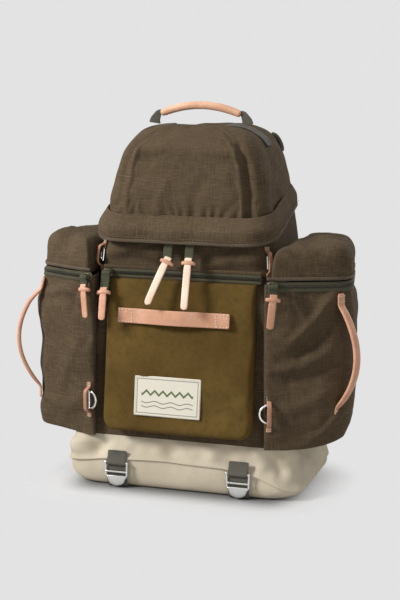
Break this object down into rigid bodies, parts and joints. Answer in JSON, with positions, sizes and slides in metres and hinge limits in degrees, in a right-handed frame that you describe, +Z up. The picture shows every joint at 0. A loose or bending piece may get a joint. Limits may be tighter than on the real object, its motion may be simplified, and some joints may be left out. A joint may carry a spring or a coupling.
{
  "type": "hunting backpack",
  "caption": "Canvas hunting backpack with a domed zip lid, suede front pocket, detachable side pockets, leather pulls and handles, suede base, base straps with buckles and shoulder straps.",
  "frame": {"origin": "on the floor under the middle of the bag, at the base's flat underside", "axes": "+Z up, +X to the viewer's right, the front pocket faces -Y"},
  "size_m": [0.4564, 0.263, 0.4882],
  "materials": {
    "canvas": "coarse slub canvas",
    "suede": "olive suede with nap",
    "beige_suede": "beige nubuck",
    "zip_tape": "woven zip tape with coil",
    "leather": "natural vegetable-tanned leather",
    "webbing": "grey woven webbing",
    "green_webbing": "green woven webbing",
    "steel": "bright nickel plate",
    "slider_metal": "dark olive enamel on die-cast sliders",
    "label": "cream woven label"
  },
  "bodies": {
    "pack": {"front_panel": "canvas", "side_gusset_left": "canvas", "side_gusset_right": "canvas", "back_wall": "canvas", "base_floor": "beige_suede", "base_band": "beige_suede", "main_zip": "zip_tape", "front_pocket": "suede", "front_zip": "zip_tape", "front_strip": "leather", "label_patch": "label", "base_strap_left": "webbing", "base_strap_right": "webbing", "back_pad": "canvas", "shoulder_strap_left": "canvas", "shoulder_strap_right": "canvas", "strap_tail_left": "webbing", "strap_tail_right": "webbing", "corner_loop_left": "leather", "corner_loop_right": "leather"},
    "lid": {"lid": "canvas", "lid_cuff": "canvas", "lid_tabs": "webbing", "handle_tabs": "webbing"},
    "top_handle": {"handle_grip": "leather", "handle_webbing": "webbing"},
    "main_slider_left": {"main_slider_left": "slider_metal"},
    "main_pull_left": {"main_loop_left": "green_webbing", "main_pull_left": "leather"},
    "main_slider_right": {"main_slider_right": "slider_metal"},
    "main_pull_right": {"main_loop_right": "green_webbing", "main_pull_right": "leather"},
    "front_slider": {"front_slider": "slider_metal"},
    "front_pull": {"front_loop": "green_webbing", "front_pull": "leather"},
    "side_pocket_left": {"side_pocket_left": "canvas", "side_zip_left": "zip_tape", "carry_handle_left": "leather", "pocket_loop_left": "leather"},
    "side_top_left": {"side_top_left": "canvas"},
    "side_slider_left": {"side_slider_left": "slider_metal"},
    "side_pull_left": {"side_loop_left": "green_webbing", "side_pull_left": "leather"},
    "corner_ring_left": {"corner_ring_left": "steel"},
    "d_ring_left": {"d_ring_left": "steel"},
    "base_buckle_left": {"base_buckle_left": "steel"},
    "strap_buckle_left": {"strap_buckle_left": "steel"},
    "side_pocket_right": {"side_pocket_right": "canvas", "side_zip_right": "zip_tape", "carry_handle_right": "leather", "pocket_loop_right": "leather"},
    "side_top_right": {"side_top_right": "canvas"},
    "side_slider_right": {"side_slider_right": "slider_metal"},
    "side_pull_right": {"side_loop_right": "green_webbing", "side_pull_right": "leather"},
    "corner_ring_right": {"corner_ring_right": "steel"},
    "d_ring_right": {"d_ring_right": "steel"},
    "base_buckle_right": {"base_buckle_right": "steel"},
    "strap_buckle_right": {"strap_buckle_right": "steel"}
  },
  "joints": [
    {"name": "lid_hinge", "type": "hinge", "parent": "pack", "child": "lid", "pos_m": [0, 0.0825, 0.376], "axis": [-1, 0, 0], "range_deg": [0, 95]},
    {"name": "handle_fold", "type": "hinge", "parent": "lid", "child": "top_handle", "pos_m": [0, -0.015, 0.46046], "axis": [1, 0, 0], "range_deg": [-62, 62]},
    {"name": "main_zip_run_left", "type": "slide", "parent": "pack", "child": "main_slider_left", "axis": [-1, 0, 0], "range_m": [0, 0.045]},
    {"name": "main_pull_swing_left", "type": "hinge", "parent": "main_slider_left", "child": "main_pull_left", "pos_m": [-0.014, -0.09807, 0.32645], "axis": [-1, 0, 0], "range_deg": [0, 20]},
    {"name": "main_zip_run_right", "type": "slide", "parent": "pack", "child": "main_slider_right", "axis": [1, 0, 0], "range_m": [0, 0.045]},
    {"name": "main_pull_swing_right", "type": "hinge", "parent": "main_slider_right", "child": "main_pull_right", "pos_m": [0.014, -0.09807, 0.32645], "axis": [-1, 0, 0], "range_deg": [0, 20]},
    {"name": "front_zip_run", "type": "slide", "parent": "pack", "child": "front_slider", "axis": [1, 0, 0], "range_m": [0, 0.184]},
    {"name": "front_pull_swing", "type": "hinge", "parent": "front_slider", "child": "front_pull", "pos_m": [-0.097, -0.10175, 0.27589], "axis": [-1, 0, 0], "range_deg": [0, 30]},
    {"name": "side_pocket_off_left", "type": "slide", "parent": "pack", "child": "side_pocket_left", "axis": [-1, 0, 0], "range_m": [0, 0.15]},
    {"name": "side_top_hinge_left", "type": "hinge", "parent": "side_pocket_left", "child": "side_top_left", "pos_m": [-0.16, 0.0505, 0.276], "axis": [-1, 0, 0], "range_deg": [0, 95]},
    {"name": "side_zip_run_left", "type": "slide", "parent": "side_pocket_left", "child": "side_slider_left", "axis": [-0.931, 0.3651, 0], "range_m": [0, 0.066]},
    {"name": "side_pull_swing_left", "type": "hinge", "parent": "side_slider_left", "child": "side_pull_left", "pos_m": [-0.12479, -0.11684, 0.272], "axis": [-0.931, 0.3651, 0], "range_deg": [0, 110]},
    {"name": "corner_ring_swing_left", "type": "hinge", "parent": "pack", "child": "corner_ring_left", "pos_m": [-0.10825, -0.08175, 0.29576], "axis": [0.1035, 0.1035, 0.9892], "range_deg": [0, 30]},
    {"name": "d_ring_swing_left", "type": "hinge", "parent": "side_pocket_left", "child": "d_ring_left", "pos_m": [-0.11904, -0.11039, 0.112], "axis": [0, 0, -1], "range_deg": [0, 30]},
    {"name": "base_buckle_tilt_left", "type": "hinge", "parent": "pack", "child": "base_buckle_left", "pos_m": [-0.081, -0.116, 0.033], "axis": [-1, 0, 0], "range_deg": [0, 40]},
    {"name": "strap_buckle_tilt_left", "type": "hinge", "parent": "pack", "child": "strap_buckle_left", "pos_m": [-0.084, 0.1032, 0.1455], "axis": [1, 0, 0], "range_deg": [0, 40]},
    {"name": "side_pocket_off_right", "type": "slide", "parent": "pack", "child": "side_pocket_right", "axis": [1, 0, 0], "range_m": [0, 0.15]},
    {"name": "side_top_hinge_right", "type": "hinge", "parent": "side_pocket_right", "child": "side_top_right", "pos_m": [0.16, 0.0505, 0.276], "axis": [-1, 0, 0], "range_deg": [0, 95]},
    {"name": "side_zip_run_right", "type": "slide", "parent": "side_pocket_right", "child": "side_slider_right", "axis": [0.931, 0.3651, 0], "range_m": [0, 0.066]},
    {"name": "side_pull_swing_right", "type": "hinge", "parent": "side_slider_right", "child": "side_pull_right", "pos_m": [0.12479, -0.11684, 0.272], "axis": [-0.931, -0.3651, 0], "range_deg": [0, 110]},
    {"name": "corner_ring_swing_right", "type": "hinge", "parent": "pack", "child": "corner_ring_right", "pos_m": [0.10825, -0.08175, 0.29576], "axis": [0.1035, -0.1035, -0.9892], "range_deg": [0, 30]},
    {"name": "d_ring_swing_right", "type": "hinge", "parent": "side_pocket_right", "child": "d_ring_right", "pos_m": [0.11904, -0.11039, 0.112], "axis": [0, 0, 1], "range_deg": [0, 30]},
    {"name": "base_buckle_tilt_right", "type": "hinge", "parent": "pack", "child": "base_buckle_right", "pos_m": [0.081, -0.116, 0.033], "axis": [-1, 0, 0], "range_deg": [0, 40]},
    {"name": "strap_buckle_tilt_right", "type": "hinge", "parent": "pack", "child": "strap_buckle_right", "pos_m": [0.084, 0.1032, 0.1455], "axis": [1, 0, 0], "range_deg": [0, 40]}
  ]
}
